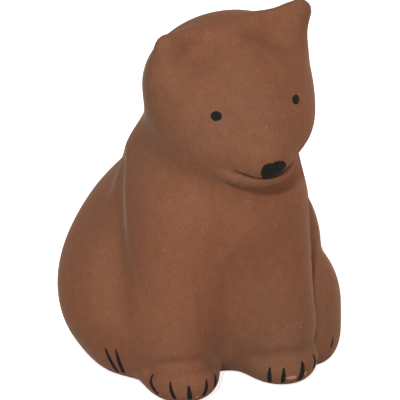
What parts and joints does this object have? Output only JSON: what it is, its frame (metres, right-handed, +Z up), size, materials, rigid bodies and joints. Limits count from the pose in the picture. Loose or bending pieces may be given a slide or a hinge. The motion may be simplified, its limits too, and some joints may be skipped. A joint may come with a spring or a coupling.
{
  "type": "toy bear",
  "caption": "Hollow moulded toy bear sitting upright, with painted eyes, nose and claws and a push-in squeaker closing its flat base.",
  "frame": {"origin": "on the ground under the middle of the toy's bounding box", "axes": "+Z up, the bear faces -Y, its own left side is +X"},
  "size_m": [0.0708, 0.0816, 0.0969],
  "materials": {
    "moulded_skin": "matte brown, velvety flocked coat over pinkish soft moulding",
    "black_paint": "hand-applied black paint film, matte",
    "squeaker_plastic": "cream moulded plastic, satin",
    "reed_brass": "thin rolled strip"
  },
  "bodies": {
    "body": {"body_skin": "moulded_skin", "squeaker_barrel": "squeaker_plastic", "reed_plate": "squeaker_plastic", "reed_clamp": "squeaker_plastic", "eye_left": "black_paint", "eye_right": "black_paint", "nose": "black_paint", "claw_front_left_1": "black_paint", "claw_front_left_2": "black_paint", "claw_front_left_3": "black_paint", "claw_front_left_4": "black_paint", "claw_front_right_1": "black_paint", "claw_front_right_2": "black_paint", "claw_front_right_3": "black_paint", "claw_front_right_4": "black_paint", "claw_front_right_5": "black_paint", "claw_hind_left_1": "black_paint", "claw_hind_right_1": "black_paint", "claw_hind_right_2": "black_paint"},
    "tongue": {"reed_tongue": "reed_brass"}
  },
  "joints": [
    {"name": "reed_flutter", "type": "hinge", "parent": "body", "child": "tongue", "pos_m": [-0.00194, 0.00481, 0.01767], "axis": [0, 1, 0], "range_deg": [-7, 7], "stiffness_Nm_per_rad": 0.002}
  ]
}
